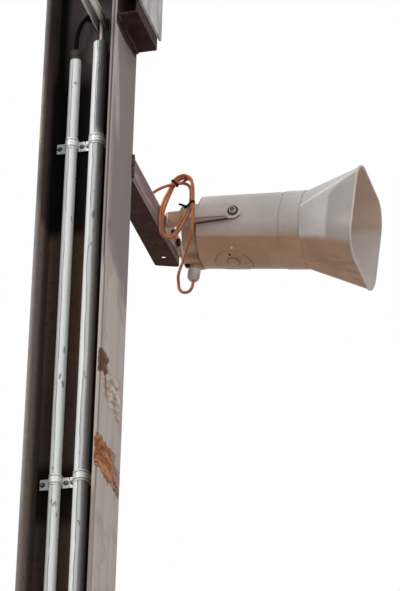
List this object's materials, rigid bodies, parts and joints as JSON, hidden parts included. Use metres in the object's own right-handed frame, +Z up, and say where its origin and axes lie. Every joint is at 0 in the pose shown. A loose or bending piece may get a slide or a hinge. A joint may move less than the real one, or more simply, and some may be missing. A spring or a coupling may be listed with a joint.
{
  "type": "civil defense siren tower",
  "caption": "Steel H-section mast on a base plate with two front conduits, an angle arm and yoke holding a tilting siren horn, and an orange cable looped to its gland.",
  "frame": {"origin": "middle of the base plate's underside, at ground level", "axes": "+Z up along the column; +X from flange to flange, the way the horn points; -Y the side with the conduits, +Y the side with the arm"},
  "size_m": [0.691, 0.707, 6.4],
  "materials": {
    "base_plate": "weathered paint",
    "base_weld": "painted weld",
    "anchor_bolts": "galvanised",
    "anchor_washers": "galvanised",
    "anchor_nuts": "galvanised",
    "column": "weathered grey-brown paint with rust",
    "cap_plate": "weathered paint",
    "conduit_small": "galvanised",
    "conduit_large": "galvanised",
    "conduit_bushing": "dull",
    "spacer_bars": "galvanised",
    "saddles_small": "galvanised",
    "saddles_large": "galvanised",
    "saddle_screws": "zinc plated",
    "upper_bracket": "primer brown",
    "bracket_weld": "rough weld",
    "bracket_pad": "weathered light grey",
    "front_strut": "galvanised",
    "strut_weld": "rough weld",
    "web_grommets": "matt",
    "arm_angle": "weathered paint",
    "arm_weld": "touched-up weld",
    "yoke": "light grey",
    "yoke_bolts": "dark, weathered",
    "yoke_nuts": "dark, weathered",
    "pivot_bolts": "zinc plated",
    "pivot_washers": "zinc plated",
    "pivot_bosses": "light warm grey",
    "horn_body": "light warm grey",
    "horn_collar": "light warm grey",
    "throat_plate": "light warm grey",
    "horn_flare": "light warm grey",
    "rear_cap": "light warm grey",
    "cable_gland": "grey",
    "gland_nut": "grey",
    "blank_plug": "black",
    "horn_cable": "orange sheath",
    "feed_cable": "black sheath",
    "cable_ties": "black"
  },
  "bodies": {
    "tower": {"base_plate": "base_plate", "base_weld": "base_weld", "anchor_bolts": "anchor_bolts", "anchor_washers": "anchor_washers", "anchor_nuts": "anchor_nuts", "column": "column", "cap_plate": "cap_plate", "conduit_small": "conduit_small", "conduit_large": "conduit_large", "conduit_bushing": "conduit_bushing", "spacer_bars": "spacer_bars", "saddles_small": "saddles_small", "saddles_large": "saddles_large", "saddle_screws": "saddle_screws", "upper_bracket": "upper_bracket", "bracket_weld": "bracket_weld", "bracket_pad": "bracket_pad", "front_strut": "front_strut", "strut_weld": "strut_weld", "web_grommets": "web_grommets", "arm_angle": "arm_angle", "arm_weld": "arm_weld", "yoke": "yoke", "yoke_bolts": "yoke_bolts", "yoke_nuts": "yoke_nuts", "horn_cable": "horn_cable", "feed_cable": "feed_cable", "cable_ties": "cable_ties"},
    "siren": {"pivot_bolts": "pivot_bolts", "pivot_washers": "pivot_washers", "pivot_bosses": "pivot_bosses", "horn_body": "horn_body", "horn_collar": "horn_collar", "throat_plate": "throat_plate", "horn_flare": "horn_flare", "rear_cap": "rear_cap", "cable_gland": "cable_gland", "gland_nut": "gland_nut", "blank_plug": "blank_plug"}
  },
  "joints": [
    {"name": "horn_tilt", "type": "hinge", "parent": "tower", "child": "siren", "pos_m": [0.2379, 0.425, 5.95], "axis": [0, 1, 0], "range_deg": [-30, 14], "deforming": ["horn_cable"]}
  ]
}
